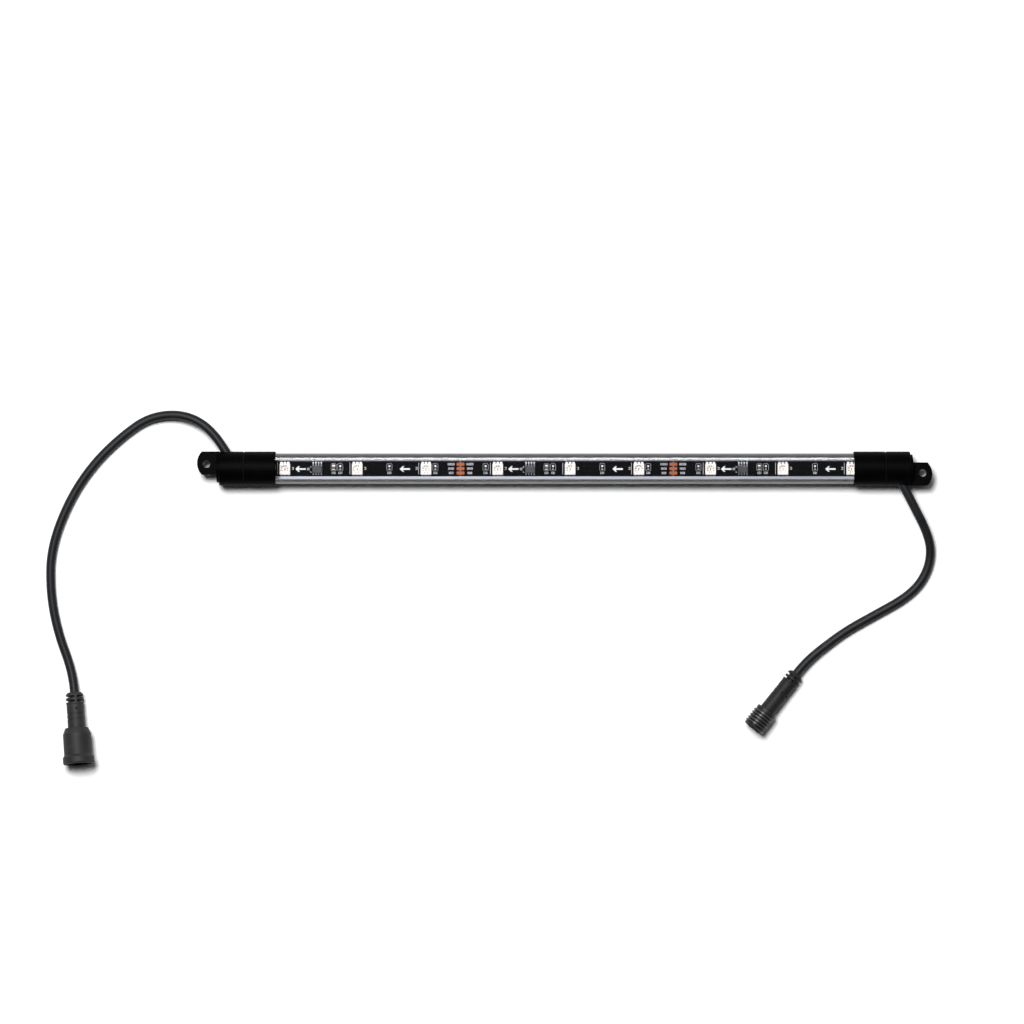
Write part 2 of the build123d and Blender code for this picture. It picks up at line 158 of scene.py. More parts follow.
def make_lights():
    key = make_area_light("key", (-0.50, 0.78, 2.4), (0.88, 0.88), 86)
    fill = make_area_light("fill", (0.7, 0.9, 1.6), (1.0, 1.0), 3)
    for light in (key, fill):
        link_light(light, "EXCLUDE", nodes["tube"])
    edge = make_area_light("edge", (0, 0.9, 0.14), (1.6, 0.22), 16, target=(0, 0, 0.008))
    link_light(edge, "INCLUDE", nodes["tube"])
    world = bpy.data.worlds.new("studio")
    world.use_nodes = True
    tree = world.node_tree
    dim = tree.nodes["Background"]
    dim.inputs["Color"].default_value = (0.93, 0.96, 1, 1)
    dim.inputs["Strength"].default_value = 0.034
    backdrop = tree.nodes.new("ShaderNodeBackground")
    backdrop.inputs["Color"].default_value = (1, 1, 1, 1)
    chooser = tree.nodes.new("ShaderNodeMixShader")
    seen = tree.nodes.new("ShaderNodeLightPath").outputs["Is Camera Ray"]
    tree.links.new(seen, chooser.inputs["Fac"])
    tree.links.new(dim.outputs["Background"], chooser.inputs[1])
    tree.links.new(backdrop.outputs["Background"], chooser.inputs[2])
    tree.links.new(chooser.outputs["Shader"], tree.nodes["World Output"].inputs["Surface"])
    scene.world = world
    scene.view_settings.view_transform = "Standard"


def make_floor():
    material, tree, shader = new_material("floor_paper")
    fibres = noise(tree, surface_place(tree), 60, 4)
    paper = blend_colours(tree, fibres, (0.93, 0.93, 0.93), (0.97, 0.97, 0.97))
    tree.links.new(paper, shader.inputs["Base Color"])
    shader.inputs["Roughness"].default_value = 0.9
    shader.inputs["Specular IOR Level"].default_value = 0.1
    mesh = bpy.data.meshes.new("floor")
    builder = bmesh.new()
    bmesh.ops.create_grid(builder, x_segments=1, y_segments=1, size=3)
    builder.to_mesh(mesh)
    builder.free()
    mesh.materials.append(material)
    floor = bpy.data.objects.new("floor", mesh)
    floor.location.z = -0.0001
    scene.collection.objects.link(floor)


# ---------------------------------------------------------------- material building blocks


def new_material(name):
    material = bpy.data.materials.new(name)
    material.use_nodes = True
    tree = material.node_tree
    return material, tree, tree.nodes["Principled BSDF"]


def add(tree, kind, **settings):
    """A new shader node. A setting that names an input sets it, and any other sets the node."""
    node = tree.nodes.new(kind)
    for key, value in settings.items():
        if key in node.inputs:
            node.inputs[key].default_value = value
        else:
            setattr(node, key, value)
    return node


def surface_place(tree, stretch=(1, 1, 1)):
    """Places on the object in metres, stretched along each axis."""
    mapping = add(tree, "ShaderNodeMapping")
    mapping.inputs["Scale"].default_value = stretch
    coordinates = add(tree, "ShaderNodeTexCoord").outputs["Object"]
    tree.links.new(coordinates, mapping.inputs["Vector"])
    return mapping.outputs["Vector"]


def noise(tree, place, scale, detail=3.0, roughness=0.55):
    node = add(tree, "ShaderNodeTexNoise", Scale=scale, Detail=detail, Roughness=roughness)
    tree.links.new(place, node.inputs["Vector"])
    return node.outputs["Fac"]


def remap(tree, value, low, high, low_result, high_result):
    """Maps low..high to low_result..high_result, and holds the result beyond them."""
    node = add(tree, "ShaderNodeMapRange")
    limits = zip(("From Min", "From Max", "To Min", "To Max"), (low, high, low_result, high_result))
    for socket, limit in limits:
        node.inputs[socket].default_value = limit
    tree.links.new(value, node.inputs["Value"])
    return node.outputs["Result"]


def blend_colours(tree, factor, first, second):
    node = add(tree, "ShaderNodeMix", data_type="RGBA")
    tree.links.new(factor, node.inputs["Factor"])
    for socket, colour in ((node.inputs[6], first), (node.inputs[7], second)):
        if isinstance(colour, tuple):
            socket.default_value = (*colour, 1)
        else:
            tree.links.new(colour, socket)
    return node.outputs[2]


def emboss(tree, shader, height, strength, distance):
    node = add(tree, "ShaderNodeBump", Strength=strength, Distance=distance)
    tree.links.new(height, node.inputs["Height"])
    tree.links.new(node.outputs["Normal"], shader.inputs["Normal"])


# ---------------------------------------------------------------- materials


def paint_recess_shade(tree, colour, reach=0.0016):
    """Painted shade: the colour in the open, darkened to near black deep in a slot or groove by an
    ambient occlusion node.
    """
    shade_occlusion = add(tree, "ShaderNodeAmbientOcclusion", Distance=reach, samples=8)
    depth = remap(tree, shade_occlusion.outputs["AO"], 0.45, 0.8, 0, 1)
    return blend_colours(tree, depth, (0.0008, 0.0008, 0.0009), colour)


def moulded(name, dark, light, roughness, specular=0.5, grain=2600, depth=0.00002, recess_shade=False):
    """Moulded plastic or rubber: fine spark grain, faint clouds and an uneven gloss, and, when
    asked, painted shade near black deep in its slots and grooves.
    """
    material, tree, shader = new_material(name)
    clouds = noise(tree, surface_place(tree), 160)
    fine = noise(tree, surface_place(tree), grain, 2.0)
    colour = blend_colours(tree, remap(tree, clouds, 0.35, 0.65, 0, 1), dark, light)
    # painted shade: slots and grooves darken to near black
    if recess_shade:
        colour = paint_recess_shade(tree, colour)
    tree.links.new(colour, shader.inputs["Base Color"])
    gloss = remap(tree, fine, 0.3, 0.7, roughness - 0.05, roughness + 0.07)
    tree.links.new(gloss, shader.inputs["Roughness"])
    shader.inputs["Specular IOR Level"].default_value = specular
    emboss(tree, shader, fine, 0.35, depth)
    return material


def metal(name, dark, light, roughness, metallic=1.0, stretch=(1, 1, 1), scale=900):
    """Bare metal with drawn streaks or, unstretched, the skin of solder."""
    material, tree, shader = new_material(name)
    streaks = noise(tree, surface_place(tree, stretch), scale, 4.0, 0.7)
    colour = blend_colours(tree, remap(tree, streaks, 0.3, 0.7, 0, 1), dark, light)
    tree.links.new(colour, shader.inputs["Base Color"])
    gloss = remap(tree, streaks, 0.3, 0.7, roughness - 0.06, roughness + 0.1)
    tree.links.new(gloss, shader.inputs["Roughness"])
    shader.inputs["Metallic"].default_value = metallic
    emboss(tree, shader, streaks, 0.2, 0.00001)
    return material


def circuit_film():
    """Black solder mask. The copper under it stands up as long faint tracks."""
    material, tree, shader = new_material("circuit_film_mask")
    tracks = add(tree, "ShaderNodeTexBrick", Scale=1.0)
    tracks.inputs["Brick Width"].default_value = 0.017
    tracks.inputs["Row Height"].default_value = 0.0021
    tracks.inputs["Mortar Size"].default_value = 0.00022
    tracks.inputs["Mortar Smooth"].default_value = 0.4
    tree.links.new(surface_place(tree), tracks.inputs["Vector"])
    relief = tracks.outputs["Fac"]
    grain = noise(tree, surface_place(tree), 3000, 2.0)
    colour = blend_colours(tree, relief, (0.0030, 0.0028, 0.0033), (0.0014, 0.0014, 0.0016))
    tree.links.new(colour, shader.inputs["Base Color"])
    tree.links.new(remap(tree, grain, 0.3, 0.7, 0.38, 0.5), shader.inputs["Roughness"])
    shader.inputs["Specular IOR Level"].default_value = 0.02
    emboss(tree, shader, relief, -0.25, 0.00002)
    return material


SHADE_PASSED = (0.12, 0.12, 0.12)


def clear_plastic(name, tint, edge_shade, edge_start, edge_full, streak, shade_level=-1.0):
    """Clear plastic that passes lamplight, with painted shade where it is seen along its wall: its
    colour darkens towards the edge colour at a grazing view. Each surface below the shade level
    passes only SHADE_PASSED of the light of a shadow ray, which gives the tube a darker shadow than
    clear plastic has."""
    material, tree, shader = new_material(name)
    # Painted shade: the colour darkens towards the edge colour where the wall is seen at a grazing
    # view.
    facing = add(tree, "ShaderNodeLayerWeight", Blend=0.5).outputs["Facing"]
    depth = remap(tree, facing, edge_start, edge_full, 0, 1)
    colour = blend_colours(tree, depth, tint, edge_shade)
    tree.links.new(colour, shader.inputs["Base Color"])
    draw_lines = noise(tree, surface_place(tree, (streak, 1, 1)), 700, 2.0)
    tree.links.new(remap(tree, draw_lines, 0.35, 0.75, 0.012, 0.022), shader.inputs["Roughness"])
    shader.inputs["Transmission Weight"].default_value = 1
    shader.inputs["IOR"].default_value = 1.5
    emboss(tree, shader, draw_lines, 0.02, 0.00001)
    height = add(tree, "ShaderNodeSeparateXYZ")
    tree.links.new(surface_place(tree), height.inputs["Vector"])
    under = remap(tree, height.outputs["Z"], shade_level - 0.0004, shade_level, 0, 1)
    passed = add(tree, "ShaderNodeBsdfTransparent")
    tree.links.new(blend_colours(tree, under, SHADE_PASSED, colour), passed.inputs["Color"])
    chooser = add(tree, "ShaderNodeMixShader")
    shadow_ray = add(tree, "ShaderNodeLightPath").outputs["Is Shadow Ray"]
    tree.links.new(shadow_ray, chooser.inputs["Fac"])
    tree.links.new(shader.outputs["BSDF"], chooser.inputs[1])
    tree.links.new(passed.outputs["BSDF"], chooser.inputs[2])
    tree.links.new(chooser.outputs["Shader"], tree.nodes["Material Output"].inputs["Surface"])
    return material


def dress(material, *names):
    """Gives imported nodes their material."""
    for name in names:
        mesh = nodes[name].data
        mesh.materials.clear()
        mesh.materials.append(material)


# ---------------------------------------------------------------- mesh building, in millimetres


def make_piece(name, builder, material, replaced=(), body="batten", smooth=False):
    """Turns a finished builder into a piece of the object, in metres."""
    bmesh.ops.recalc_face_normals(builder, faces=builder.faces)
    mesh = bpy.data.meshes.new(name)
    builder.to_mesh(mesh)
    builder.free()
    mesh.transform(Matrix.Scale(MM, 4))
    mesh.materials.append(material)
    if smooth:
        mesh.shade_smooth()
        mesh.set_sharp_from_angle(angle=math.radians(40))
    piece = bpy.data.objects.new(name, mesh)
    scene.collection.objects.link(piece)
    if replaced:
        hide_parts(*replaced)
    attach(piece, body)
    return piece


def join_loops(builder, loops, closed=True):
    """Skins a stack of equal loops of points and closes both ends with one face each."""
    rows = [[builder.verts.new(point) for point in loop] for loop in loops]
    for lower, upper in zip(rows, rows[1:]):
        for index, vertex in enumerate(lower):
            following = (index + 1) % len(lower)
            builder.faces.new((vertex, lower[following], upper[following], upper[index]))
    if closed:
        builder.faces.new(reversed(rows[0]))
        builder.faces.new(rows[-1])


def plate(builder, outline, centre, bottom, height=INK):
    """A flat plate with the given outline round its centre."""
    loops = []
    for level in (bottom, bottom + height):
        loops.append([(centre[0] + x, centre[1] + y, level) for x, y in outline])
    join_loops(builder, loops)


def rectangle(length, width):
    half_length = length / 2
    half_width = width / 2
    return [
        (-half_length, -half_width),
        (half_length, -half_width),
        (half_length, half_width),
        (-half_length, half_width),
    ]


def rounded(length, width, radius, steps=4):
    """The outline of a rectangle with round corners, anticlockwise."""
    outline = []
    for quarter, (side_x, side_y) in enumerate(((1, 1), (-1, 1), (-1, -1), (1, -1))):
        for step in range(steps + 1):
            angle = math.radians(90 * quarter + 90 * step / steps)
            x = side_x * (length / 2 - radius) + radius * math.cos(angle)
            y = side_y * (width / 2 - radius) + radius * math.sin(angle)
            outline.append((x, y))
    return outline


def line_frame(builder, outer, inner, centre, bottom, height=INK):
    """A printed line that runs round between two outlines of equal length."""
    loops = []
    for outline, level in ((outer, bottom), (outer, bottom + height), (inner, bottom + height),
                           (inner, bottom)):
        loops.append([(centre[0] + x, centre[1] + y, level) for x, y in outline])
    join_loops(builder, loops + loops[:1], closed=False)
    bmesh.ops.remove_doubles(builder, verts=builder.verts, dist=1e-6)


def pillow(builder, centre, bottom, length, width, height, squareness=3.0, around=20, levels=4):
    """A domed bead of solder: flat below, and swelling to a soft crown."""
    loops = []
    for level in range(levels + 1):
        rise = math.radians(84 * level / levels)
        loop = []
        for step in range(around):
            angle = 2 * math.pi * step / around
            cosine = math.cos(angle)
            sine = math.sin(angle)
            reach = (abs(cosine) ** squareness + abs(sine) ** squareness) ** (-1 / squareness)
            x = centre[0] + length / 2 * reach * cosine * math.cos(rise)
            y = centre[1] + width / 2 * reach * sine * math.cos(rise)
            loop.append((x, y, bottom + height * math.sin(rise)))
        loops.append(loop)
    join_loops(builder, loops)


def turned(builder, centre, profile, around=32):
    """A solid of revolution about an upright axis, from a profile of (radius, height)."""
    loops = []
    for radius, height in profile:
        loop = []
        for step in range(around):
            angle = 2 * math.pi * step / around
            x = centre[0] + radius * math.cos(angle)
            y = centre[1] + radius * math.sin(angle)
            loop.append((x, y, height))
        loops.append(loop)
    join_loops(builder, loops)


def fine_wire(builder, points, radius, around=6):
    """A thin wire through points that all lie in one upright plane."""
    start = Vector(points[0])
    run = Vector(points[-1]) - start
    along = Vector((run.x, run.y, 0)).normalized()
    sideways = along.cross(Vector((0, 0, 1)))
    loops = []
    for index, point in enumerate(points):
        before = Vector(points[max(index - 1, 0)])
        after = Vector(points[min(index + 1, len(points) - 1)])
        upward = sideways.cross((after - before).normalized())
        loop = []
        for step in range(around):
            angle = 2 * math.pi * step / around
            spoke = sideways * math.cos(angle) + upward * math.sin(angle)
            loop.append(Vector(point) + spoke * radius)
        loops.append(loop)
    join_loops(builder, loops)


# ---------------------------------------------------------------- cords


def make_cord(name, node, route, material):
    data = bpy.data.curves.new(name, "CURVE")
    data.dimensions = "3D"
    spline = data.splines.new("NURBS")
    spline.points.add(len(route) - 1)
    for point, place in zip(spline.points, route):
        point.co = (*place, 1)
    spline.order_u = 3
    spline.use_endpoint_u = True
    data.resolution_u = 20
    data.bevel_depth = CORD_DIAMETER / 2
    data.bevel_resolution = 8
    data.use_fill_caps = True
    data.materials.append(material)
    piece = bpy.data.objects.new(name, data)
    scene.collection.objects.link(piece)
    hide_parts(node)
    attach(piece, "batten")


def make_cords():
    jacket = moulded("cord_jacket", (0.005, 0.0055, 0.007), (0.008, 0.009, 0.011), 0.5, 0.24)
    make_cord("left_lead", "left_cord", LEFT_ROUTE,
              jacket)
    make_cord("right_lead", "right_cord", RIGHT_ROUTE,
              jacket)


# ---------------------------------------------------------------- strip: print and copper


def print_arrow(builder, x, y):
    """A swept arrow that points to the feeding end."""
    upper = [(-1.1, 0.38), (-0.4, 1.35), (-1.05, 1.35)]
    lower = [(-1.05, -1.35), (-0.4, -1.35), (-1.1, -0.38)]
    outline = [(-2.5, 0), *lower, (2.35, -0.38), (2.35, 0.38), *upper]
    plate(builder, outline, (x, y), STRIP_TOP)


def print_ticks(builder, x, y, widths, height, gap=0.26):
    """A row of upright ticks in place of lettering, centred on x."""
    total = sum(widths) + gap * (len(widths) - 1)
    reach = x - total / 2
    for width in widths:
        plate(builder, rectangle(width, height), (reach + width / 2, y), STRIP_TOP)
        reach += width + gap


def print_lamp_marks(builder):
    """An upright line before each lamp, and a short double dash beside it."""
    for number, lamp in enumerate(LAMPS):
        low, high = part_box(lamp)
        x, y = middle(lamp)
        plate(builder, rectangle(FINE_LINE, 5.6), (low.x / MM - 0.95, y + 0.35), STRIP_TOP)
        if number % 3 == 2:
            place = low.x / MM - 2.0
        else:
            place = high.x / MM + 1.15
        plate(builder, rectangle(0.9, 0.16), (place, y + 0.95), STRIP_TOP)
        plate(builder, rectangle(0.9, 0.16), (place, y - 0.05), STRIP_TOP)
        plate(builder, rectangle(0.16, 0.84), (place + 0.37, y + 0.45), STRIP_TOP)


def print_chip_marks(builder):
    """Corner ticks and a bar before each driver chip."""
    for chip in CHIPS:
        low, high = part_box(chip)
        y = (low.y + high.y) / 2 / MM
        edge = low.x / MM - 0.55
        for side in (-1, 1):
            plate(builder, rectangle(0.6, FINE_LINE), (edge, y + side * 1.35), STRIP_TOP)
            plate(builder, rectangle(FINE_LINE, 0.5), (edge - 0.23, y + side * 1.03), STRIP_TOP)
        print_ticks(builder, edge - 1.25, y + 0.25, [0.16, 0.12, 0.16], 1.2, 0.26)


def print_passive_frame(builder, x, y):
    """A capsule round a small part, and ticks below it."""
    outer = rounded(2.5, 3.8, 0.8)
    inner = rounded(2.34, 3.64, 0.72)
    line_frame(builder, outer, inner, (x, y + 0.25), STRIP_TOP)
    print_ticks(builder, x, y - 2.55, [0.16, 0.12, 0.24, 0.12], 0.95, 0.34)


def print_pad_labels(builder, joint):
    """Rows of ticks beside each pad, longest beside the top one."""
    patterns = [
        [0.24, 0.18, 0.24, 0.18, 0.24, 0.18],
        [0.18, 0.24, 0.18, 0.24, 0.18],
        [0.24, 0.18, 0.18, 0.24],
    ]
    for offset, widths in zip(CORE_OFFSETS, patterns):
        print_ticks(builder, joint - 4.4, offset, widths, 1.1, 0.36)
        print_ticks(builder, joint + 4.4, offset, list(reversed(widths)), 1.1, 0.36)


def make_strip_print(ink):
    builder = bmesh.new()
    for start in SEGMENT_STARTS:
        for place in ARROW_PLACES:
            print_arrow(builder, start + place, ARROW_OFFSET)
    print_lamp_marks(builder)
    print_chip_marks(builder)
    for x, y, _ in passive_places():
        print_passive_frame(builder, x, y)
    for joint in SEGMENT_STARTS[1:]:
        print_pad_labels(builder, joint)
    make_piece("strip_print", builder, ink)


def make_cut_lines(ink):
    """The printed line across each joint, where the strip may be cut."""
    builder = bmesh.new()
    for joint in SEGMENT_STARTS[1:]:
        for y in (-3.2, -1.05, 1.05, 3.2):
            plate(builder, rectangle(0.16, 0.4), (joint, y), STRIP_TOP)
    make_piece("cut_marks", builder, ink)


# ---------------------------------------------------------------- strip: small parts


def passive_places():
    """The middle of each capacitor and resistor, with its length across the strip."""
    places = []
    for start, capacitor, resistors in zip(SEGMENT_STARTS, CAPACITORS, RESISTORS):
        for node, xs in ((capacitor, [middle(capacitor)[0]]),
                         (resistors, [start + place for place in RESISTOR_PLACES])):
            low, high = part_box(node)
            size = ((high.y - low.y) / MM, (high.z - low.z) / MM)
            places += [(x, middle(node)[1], size) for x in xs]
    return places


CAPACITOR_WIDTH = 1.3
RESISTOR_WIDTH = 0.86
LOWER_BAND = 0.2
UPPER_BAND = 0.34


def make_terminals(tin):
    """Plated end bands on the capacitors and resistors. Their upper ends show solder too."""
    builder = bmesh.new()
    for x, y, (length, height) in passive_places():
        width = CAPACITOR_WIDTH if length > 1.8 else RESISTOR_WIDTH
        for side, band in ((-1, LOWER_BAND), (1, UPPER_BAND)):
            place = y + side * (length - band) / 2
            loops = []
            for inset, level in ((0, 0), (0, height - 0.05), (0.06, height + 0.02)):
                outline = rectangle(width + 0.04 - inset, band + 0.04 - inset / 2)
                loops.append([(x + dx, place + dy, STRIP_TOP + level) for dx, dy in outline])
            join_loops(builder, loops)
        pillow(builder, (x, y + length / 2 + 0.12), STRIP_TOP, width + 0.1, 0.62, height * 0.6)
    make_piece("part_terminals", builder, tin, smooth=True)


def make_solder(tin):
    """Solder over the toes of the lamps' and the chips' leads."""
    builder = bmesh.new()
    for lamp in LAMPS:
        low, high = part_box(lamp)
        x = middle(lamp)[0]
        for offset in LAMP_LEAD_OFFSETS:
            long_toe = (x + offset, high.y / MM + 0.5)
            short_toe = (x + offset, low.y / MM - 0.1)
            pillow(builder, long_toe, STRIP_TOP, 1.08, 1.1, 0.62, 5.0)
            pillow(builder, short_toe, STRIP_TOP, 1.05, 0.52, 0.4, 5.0)
    for chip in CHIPS:
        x = middle(chip)[0]
        for offset in CHIP_LEAD_OFFSETS:
            pillow(builder, (x + offset, CHIP_TOE), STRIP_TOP, 0.68, 1.1, 0.3, 5.0)
    make_piece("solder_beads", builder, tin, smooth=True)


def make_pads(copper):
    """Three bare pads at each joint of the strip, cut in half at its two ends."""
    builder = bmesh.new()
    low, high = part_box("solder_pads")
    height = (high.z - low.z) / MM
    for joint in SEGMENT_STARTS[1:]:
        for offset in CORE_OFFSETS:
            outline = rounded(PAD_LENGTH, PAD_WIDTH, 0.5)
            plate(builder, outline, (joint, offset), STRIP_TOP, height)
    for centre in (low.x / MM + END_PAD_INSET, high.x / MM - END_PAD_INSET):
        for offset in CORE_OFFSETS:
            outline = rounded(END_PAD_LENGTH, PAD_WIDTH, 0.4)
            plate(builder, outline, (centre, offset), STRIP_TOP, height)
    make_piece("pads", builder, copper, replaced=["solder_pads"])


def make_copper_lands(copper):
    """The rim of bare copper that shows round the soldered leads on the upper side of each lamp and
    chip.
    """
    builder = bmesh.new()
    for lamp in LAMPS:
        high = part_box(lamp)[1]
        x = middle(lamp)[0]
        for offset in LAMP_LEAD_OFFSETS:
            land = (x + offset, high.y / MM + 0.4)
            plate(builder, rounded(1.3, 1.2, 0.12), land, STRIP_TOP)
    for chip in CHIPS:
        x = middle(chip)[0]
        for offset in CHIP_LEAD_OFFSETS:
            plate(builder, rounded(0.66, 0.85, 0.1), (x + offset, CHIP_LAND), STRIP_TOP)
    make_piece("copper_lands", builder, copper)


def make_chip_dots(material):
    """The moulded dot that marks the first lead of each chip."""
    builder = bmesh.new()
    for chip in CHIPS:
        low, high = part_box(chip)
        centre = (low.x / MM + 0.85, low.y / MM + 0.85)
        plate(builder, rounded(0.6, 0.6, 0.299, 6), centre, high.z / MM - 0.005, 0.015)
    make_piece("chip_dots", builder, material)


# ---------------------------------------------------------------- lamps


WELL_DEPTH = 0.9
LENS_RADIUS = 1.96
FINGER_COUNT = 8
FINGER_START = 1.0
FINGER_END = 1.72
FRAME_LIFT = 0.005
FRAME_THICKNESS = 0.03
DIE_SIZE = 0.3
DIE_STEP = 0.48
DIE_HEIGHT = 0.1
WIRE_REACH = 1.25


def well_floor(lamp):
    """The middle of the floor of a lamp's well, in millimetres."""
    x, y = middle(lamp)
    return x, y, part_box(lamp)[1].z / MM - WELL_DEPTH


def make_leadframes(plating):
    """Eight plated fingers round the floor of each well, and a land in its middle."""
    builder = bmesh.new()
    for lamp in LAMPS:
        x, y, floor = well_floor(lamp)
        for index in range(FINGER_COUNT):
            angle = 2 * math.pi * (index + 0.5) / FINGER_COUNT
            corners = [(FINGER_START, -0.15), (FINGER_END, -0.3)]
            corners += [(FINGER_END, 0.3), (FINGER_START, 0.15)]
            outline = []
            for radius, spread in corners:
                along = (radius * math.cos(angle), radius * math.sin(angle))
                across = (-spread * math.sin(angle), spread * math.cos(angle))
                outline.append((along[0] + across[0], along[1] + across[1]))
            plate(builder, outline, (x, y), floor + FRAME_LIFT, FRAME_THICKNESS)
        plate(builder, rounded(0.5, 1.4, 0.15), (x, y), floor + FRAME_LIFT, FRAME_THICKNESS)
    make_piece("lamp_leadframes", builder, plating)


def make_dies(die_material):
    """Three light-emitting dies in a row on the land of each lamp."""
    builder = bmesh.new()
    for lamp in LAMPS:
        x, y, floor = well_floor(lamp)
        for step in (-1, 0, 1):
            place = (x, y + step * DIE_STEP)
            seat = floor + FRAME_LIFT + FRAME_THICKNESS
            plate(builder, rectangle(DIE_SIZE, DIE_SIZE), place, seat, DIE_HEIGHT)
    make_piece("lamp_dies", builder, die_material)


def make_bond_wires(wire_metal):
    """Two fine wires from each die, arched over to the fingers beside it."""
    builder = bmesh.new()
    for lamp in LAMPS:
        x, y, floor = well_floor(lamp)
        seat = floor + FRAME_LIFT + FRAME_THICKNESS
        for step in (-1, 0, 1):
            for side in (-1, 1):
                start = Vector((x + side * 0.08, y + step * DIE_STEP, seat + DIE_HEIGHT))
                angle = math.pi / 8 * (1 if step == 0 else 3)
                upward = step if step else side
                foot = Vector((x + side * WIRE_REACH * math.cos(angle),
                               y + upward * WIRE_REACH * math.sin(angle), seat))
                points = []
                for index in range(7):
                    part = index / 6
                    arch = Vector((0, 0, 0.28 * math.sin(math.pi * part)))
                    points.append(start.lerp(foot, part) + arch)
                fine_wire(builder, points, 0.025)
    make_piece("bond_wires", builder, wire_metal, smooth=True)


def make_lenses(clear):
    """The clear filling of each well, with a low crown."""
    builder = bmesh.new()
    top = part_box("led_lenses")[1].z / MM
    for lamp in LAMPS:
        x, y, floor = well_floor(lamp)
        profile = [(0.4, floor + 0.45), (LENS_RADIUS, floor + 0.45), (LENS_RADIUS, top - 0.05)]
        profile += [(LENS_RADIUS * 0.8, top - 0.02), (LENS_RADIUS * 0.4, top)]
        turned(builder, (x, y), profile)
    make_piece("lamp_lenses", builder, clear, replaced=["led_lenses"], smooth=True)


# ---------------------------------------------------------------- plug thread


# Stations along the plug run in millimetres from the end of its cord's route.
THREAD_PITCH = 1.5
THREAD_ROOT = 4.76
THREAD_CREST = 5.4
THREAD_START = 23.75
THREAD_END = 32.75
FADE_LENGTH = 0.7
FLANK_SHARE = 0.27
RIDGE_SHARE = 0.78
COLLAR_START = 22.3
COLLAR_RADIUS = 5.0
NOSE = 33.0
BORE_RADIUS = 4.25
BORE_FLOOR = 24.0
HUB_RADIUS = 0.3


def thread_height(station, angle):
    """How far the helical ridge stands above its root, from 0 to 1, with faded ends."""
    phase = ((station - THREAD_START) / THREAD_PITCH - angle / (2 * math.pi)) % 1
    flank = min(phase / FLANK_SHARE, (RIDGE_SHARE - phase) / FLANK_SHARE)
    ridge = min(max(flank, 0), 1)
    fade = min(station - THREAD_START, THREAD_END - station) / FADE_LENGTH
    return ridge * min(max(fade, 0), 1)


def make_plug_thread(plastic, highlight_plastic):
    """The screw end of the plug, with one real helix outside and a smooth bore inside. The crest
    of the helix gets a lighter, glossier plastic: a painted highlight."""
    tail = Vector(RIGHT_ROUTE[-1])
    axis = (tail - Vector(RIGHT_ROUTE[-2])).normalized()
    sideways = Vector((0, 0, 1)).cross(axis)
    upward = axis.cross(sideways)
    around = 96
    rows = [(HUB_RADIUS, COLLAR_START), (4.7, COLLAR_START), (4.92, COLLAR_START + 0.08)]
    rows += [(COLLAR_RADIUS, 22.6), (COLLAR_RADIUS, 23.5), (4.95, 23.6)]
    steps = 100
    for index in range(steps + 1):
        rows.append((None, THREAD_START + (THREAD_END - THREAD_START) * index / steps))
    rows += [(4.7, NOSE - 0.06), (4.6, NOSE), (4.4, NOSE), (4.28, NOSE - 0.06)]
    rows += [(BORE_RADIUS, NOSE - 0.2), (BORE_RADIUS, BORE_FLOOR + 0.3)]
    rows += [(4.1, BORE_FLOOR + 0.05), (HUB_RADIUS, BORE_FLOOR)]
    loops = []
    for radius, station in rows:
        loop = []
        for step in range(around):
            angle = 2 * math.pi * step / around
            reach = radius
            if radius is None:
                rise = THREAD_CREST - THREAD_ROOT
                reach = THREAD_ROOT + rise * thread_height(station, angle)
            spoke = sideways * math.cos(angle) + upward * math.sin(angle)
            loop.append(tail / MM + axis * station + spoke * reach)
        loops.append(loop)
    builder = bmesh.new()
    join_loops(builder, loops)
    # Faces on the crest take the second material: a painted highlight.
    for face in builder.faces:
        place = face.calc_center_median() - tail / MM
        reach = (place - axis * place.dot(axis)).length
        face.material_index = int(reach > THREAD_CREST - 0.05)
    thread = make_piece("plug_thread", builder, plastic,
                        replaced=["plug_head"], smooth=True)
    thread.data.materials.append(highlight_plastic)


# ---------------------------------------------------------------- the whole object


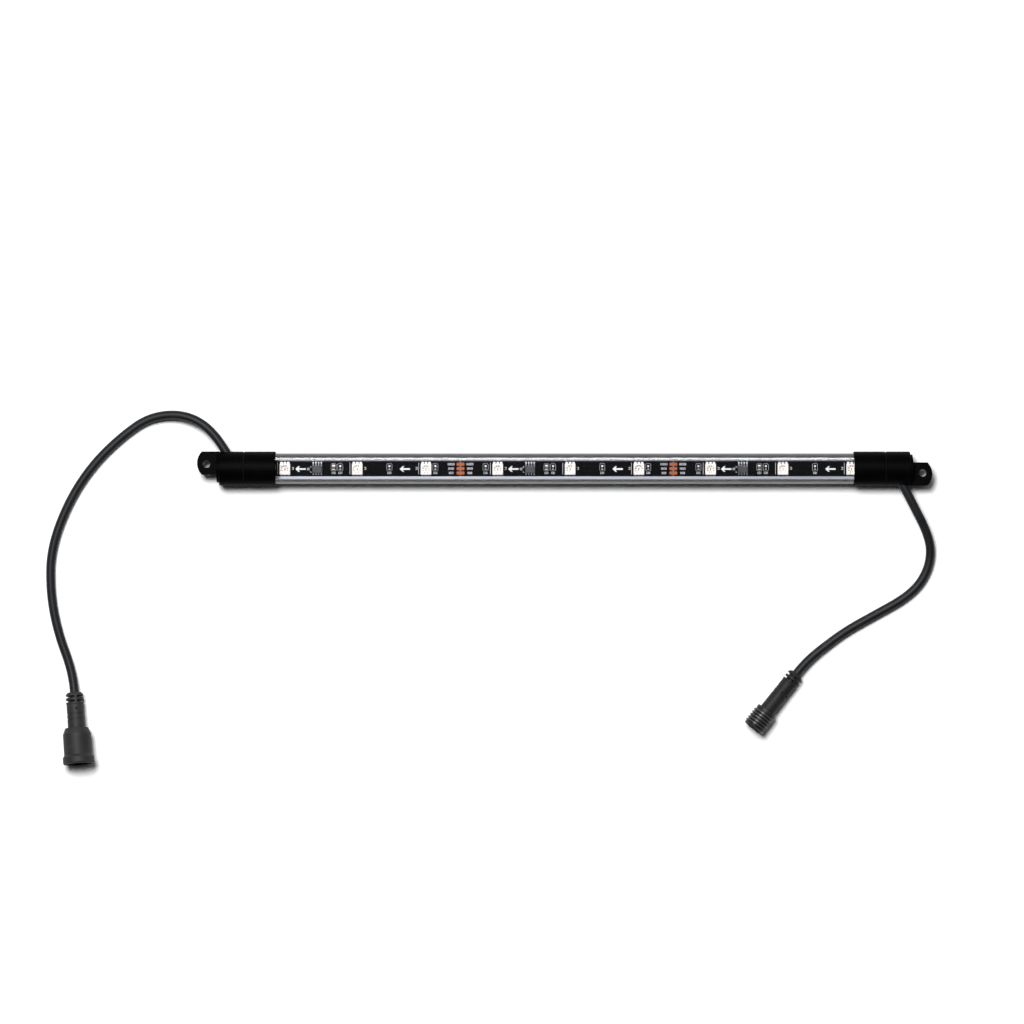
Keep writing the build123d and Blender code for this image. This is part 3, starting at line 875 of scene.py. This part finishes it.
def dress_nodes():
    black = moulded("cap_black", (0.0005, 0.0005, 0.0006), (0.0010, 0.0010, 0.0011), 0.5, 0.02)
    rubber = moulded("seal_rubber", (0.003, 0.003, 0.003), (0.005, 0.005, 0.005), 0.6, 0.02)
    # The three connector plastics carry painted shade in their slots and grooves.
    overmould = moulded("overmould", (0.016, 0.016, 0.017), (0.023, 0.023, 0.024), 0.58, 0.25, 4200,
                        0.00003, recess_shade=True)
    screw_plastic = moulded("screw_plastic", (0.010, 0.010, 0.011), (0.016, 0.016, 0.017),
                            0.45, 0.3, recess_shade=True)
    plug_rubber = moulded("plug_rubber", (0.009, 0.009, 0.010), (0.014, 0.014, 0.015), 0.58, 0.22,
                          4200, 0.00003, recess_shade=True)
    dress(black, "left_sleeve", "right_sleeve", "left_end_cap", "right_end_cap")
    dress(rubber, "left_gasket", "right_gasket", "left_grommet", "right_grommet",
          "left_wire_seal", "right_wire_seal", "socket_seal")
    dress(overmould, "socket_body", "union_nut")
    dress(plug_rubber, "plug_body")
    dress(screw_plastic, "socket_insert")
    # Painted highlight: a far lighter, glossier plastic on the thread's crest.
    crest_highlight = moulded("crest_painted_highlight", (0.055, 0.055, 0.057), (0.08, 0.08, 0.083), 0.3, 0.5)
    make_plug_thread(screw_plastic, crest_highlight)
    # The tube's walls get a near-black painted shade where they are seen edge on.
    tube_clear = clear_plastic("clear_polycarbonate", (0.94, 0.95, 0.97), (0.004, 0.004, 0.004),
                               0.27, 0.37, 0.05, shade_level=0.008)
    dress(tube_clear, "tube")
    carrier = metal("carrier_metal", (0.31, 0.31, 0.33), (0.41, 0.41, 0.435), 0.42, 0.75,
                    (0.01, 1, 1), 1600)
    dress(carrier, "carrier_bar")
    dress(moulded("tape_grey", (0.30, 0.29, 0.28), (0.38, 0.37, 0.36), 0.7), "strip_tape")
    dress(circuit_film(), "strip_circuit")
    dress(moulded("lamp_white", (0.82, 0.75, 0.68), (0.87, 0.80, 0.74), 0.5, 0.15), *LAMPS)
    dress(moulded("chip_black", (0.022, 0.023, 0.025), (0.032, 0.033, 0.036), 0.55), *CHIPS)
    dress(moulded("capacitor_tan", (0.15, 0.065, 0.028), (0.22, 0.10, 0.042), 0.35), *CAPACITORS)
    dress(moulded("resistor_black", (0.022, 0.022, 0.024), (0.040, 0.040, 0.042), 0.4), *RESISTORS)
    for core, dark, light in (("power", (0.45, 0.02, 0.02), (0.55, 0.04, 0.03)),
                              ("data", (0.02, 0.30, 0.06), (0.03, 0.40, 0.09)),
                              ("ground", (0.70, 0.70, 0.68), (0.80, 0.80, 0.78))):
        dress(moulded(f"{core}_insulation", dark, light, 0.4), f"left_{core}_wire",
              f"right_{core}_wire")


def make_strip_detail():
    ink = moulded("white_ink", (0.70, 0.71, 0.72), (0.86, 0.87, 0.88), 0.6, 0.15, 5000)
    tin = metal("tin", (0.66, 0.66, 0.67), (0.86, 0.86, 0.87), 0.34, 0.6)
    dull_tin = metal("dull_tin", (0.20, 0.20, 0.21), (0.34, 0.34, 0.35), 0.45, 0.6)
    copper = metal("copper", (0.26, 0.058, 0.014), (0.36, 0.090, 0.024), 0.45, 0.45,
                   scale=1500)
    plating = metal("lamp_plating", (0.05, 0.05, 0.052), (0.09, 0.09, 0.092), 0.4, 0.2)
    wire_metal = metal("wire_metal", (0.42, 0.40, 0.37), (0.55, 0.53, 0.49), 0.35, 0.8)
    pin_metal = metal("pin_metal", (0.70, 0.62, 0.42), (0.85, 0.76, 0.52), 0.25)
    die = moulded("die", (0.06, 0.07, 0.06), (0.12, 0.13, 0.11), 0.2)
    dot = moulded("chip_dot", (0.014, 0.014, 0.015), (0.020, 0.020, 0.021), 0.3)
    clear = clear_plastic("lens_silicone", (0.84, 0.84, 0.83), (0.70, 0.70, 0.69), 0.4, 0.9, 1)
    dress(tin, "led_leads")
    dress(dull_tin, "driver_chip_leads")
    dress(pin_metal, "socket_contacts", "plug_pins")
    make_strip_print(ink)
    make_cut_lines(ink)
    make_pads(copper)
    make_copper_lands(copper)
    make_solder(tin)
    make_terminals(tin)
    make_chip_dots(dot)
    make_leadframes(plating)
    make_dies(die)
    make_bond_wires(wire_metal)
    make_lenses(clear)


make_camera()
make_lights()
make_floor()
dress_nodes()
make_cords()
make_strip_detail()
